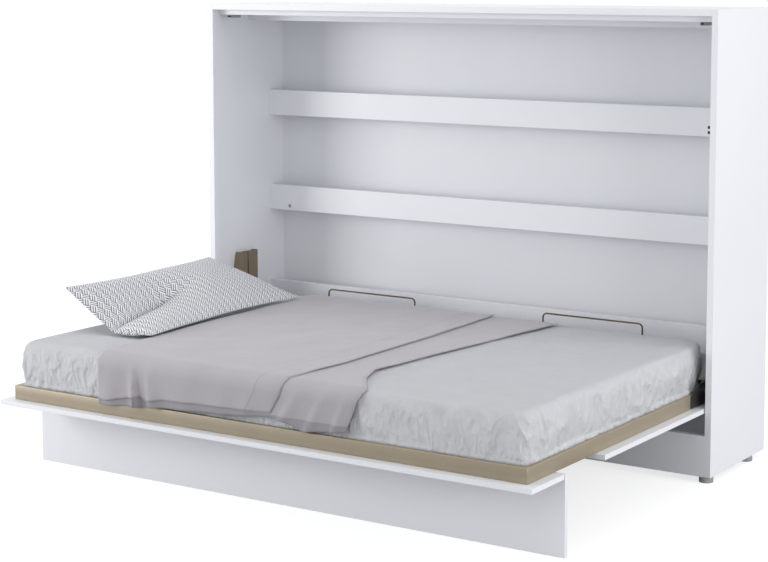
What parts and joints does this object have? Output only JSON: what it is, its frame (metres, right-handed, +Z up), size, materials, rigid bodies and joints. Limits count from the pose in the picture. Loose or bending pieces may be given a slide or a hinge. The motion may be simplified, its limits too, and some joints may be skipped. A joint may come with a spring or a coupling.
{
  "type": "cabinet bed",
  "caption": "Wide low cabinet with a sideways bed that folds down from it: platform, mattress and bedding on gas springs, with a folding leg panel across the foot.",
  "frame": {"origin": "middle of the footprint with the bed folded down, on the floor", "axes": "+X along the cabinet's width, +Y from the foot of the bed to the cabinet's back, +Z up"},
  "size_m": [2.11, 1.64, 1.574],
  "materials": {
    "white_board": "smooth white melamine-faced board",
    "white_hardboard": "thin white-faced hardboard",
    "white_plastic": "white extruded strip",
    "champagne_steel": "champagne powder coat",
    "grey_steel": "grey powder coat",
    "black_steel": "black powder coat",
    "zinc_steel": "zinc plated",
    "chrome_rod": "polished rod",
    "bronze_wire": "bronze powder coat",
    "grey_plastic": "moulded grey",
    "black_plastic": "moulded black",
    "black_rubber": "matt",
    "beech_ply": "clear-coated plywood",
    "sheet_fabric": "crinkled cotton",
    "throw_fabric": "plain woven",
    "pillow_fabric": "woven key pattern"
  },
  "bodies": {
    "cabinet": {"left_side_panel": "white_board", "right_side_panel": "white_board", "top_panel": "white_board", "latch_rail": "white_board", "top_stiffener_rail": "white_board", "upper_rear_rail": "white_board", "middle_rear_rail": "white_board", "lower_rear_rail": "white_board", "plinth_board": "white_board", "back_panel_upper": "white_hardboard", "back_panel_middle": "white_hardboard", "back_panel_lower": "white_hardboard", "back_joint_strips": "white_plastic", "wall_brackets": "zinc_steel", "feet": "grey_plastic", "cam_caps": "grey_plastic", "left_latch_housing": "grey_plastic", "right_latch_housing": "grey_plastic", "door_buffers": "black_rubber", "left_hinge_plate": "zinc_steel", "right_hinge_plate": "zinc_steel", "pivot_pins": "zinc_steel", "left_spring_bracket": "champagne_steel", "right_spring_bracket": "champagne_steel", "left_spring_cover": "grey_steel", "right_spring_cover": "grey_steel", "spring_upper_studs": "zinc_steel", "hinge_plate_screws": "zinc_steel"},
    "bed": {"frame_front_tube": "champagne_steel", "frame_rear_tube": "champagne_steel", "frame_left_tube": "champagne_steel", "frame_right_tube": "champagne_steel", "frame_centre_beam": "champagne_steel", "frame_cross_tubes": "champagne_steel", "slats": "beech_ply", "slat_holders": "black_plastic", "door_front_strip": "white_board", "door_main_panel": "white_board", "door_angles": "zinc_steel", "left_arm": "black_steel", "right_arm": "black_steel", "pivot_bushes": "black_plastic", "spring_lower_studs": "zinc_steel", "left_mattress_stop": "bronze_wire", "right_mattress_stop": "bronze_wire", "leg_hinge_brackets": "zinc_steel", "mattress": "sheet_fabric", "pillow": "pillow_fabric", "throw": "throw_fabric"},
    "leg": {"leg_panel": "white_board", "leg_hinge_pins": "zinc_steel"},
    "left_tube": {"left_spring_tube": "black_steel"},
    "left_rod": {"left_spring_rod": "chrome_rod"},
    "left_plunger": {"left_latch_plunger": "black_plastic"},
    "right_tube": {"right_spring_tube": "black_steel"},
    "right_rod": {"right_spring_rod": "chrome_rod"},
    "right_plunger": {"right_latch_plunger": "black_plastic"}
  },
  "joints": [
    {"name": "bed_fold", "type": "hinge", "parent": "cabinet", "child": "bed", "pos_m": [0, 0.431, 0.298], "axis": [-1, 0, 0], "range_deg": [0, 90], "deforming": ["pillow"]},
    {"name": "leg_fold", "type": "hinge", "parent": "bed", "child": "leg", "pos_m": [0, -0.6143, 0.2423], "axis": [1, 0, 0], "range_deg": [0, 90]},
    {"name": "left_spring_swing", "type": "hinge", "parent": "cabinet", "child": "left_tube", "pos_m": [-1.016, 0.565, 0.565], "axis": [-1, 0, 0], "range_deg": [0, 20.09]},
    {"name": "left_spring_stroke", "type": "slide", "parent": "left_tube", "child": "left_rod", "axis": [0, -0.0141, -0.9999], "range_m": [0, 0.1419]},
    {"name": "left_latch_push", "type": "slide", "parent": "cabinet", "child": "left_plunger", "axis": [0, 1, 0], "range_m": [0, 0.005], "stiffness_N_per_m": 600},
    {"name": "right_spring_swing", "type": "hinge", "parent": "cabinet", "child": "right_tube", "pos_m": [1.016, 0.565, 0.565], "axis": [-1, 0, 0], "range_deg": [0, 20.09]},
    {"name": "right_spring_stroke", "type": "slide", "parent": "right_tube", "child": "right_rod", "axis": [0, -0.0141, -0.9999], "range_m": [0, 0.1419]},
    {"name": "right_latch_push", "type": "slide", "parent": "cabinet", "child": "right_plunger", "axis": [0, 1, 0], "range_m": [0, 0.005], "stiffness_N_per_m": 600}
  ],
  "couplings": [
    {"joint": "left_spring_swing", "follows": "bed_fold", "ratio": 0.22098},
    {"joint": "left_spring_stroke", "follows": "bed_fold", "m_per_rad": 0.089995},
    {"joint": "right_spring_swing", "follows": "bed_fold", "ratio": 0.22098},
    {"joint": "right_spring_stroke", "follows": "bed_fold", "m_per_rad": 0.089995}
  ]
}
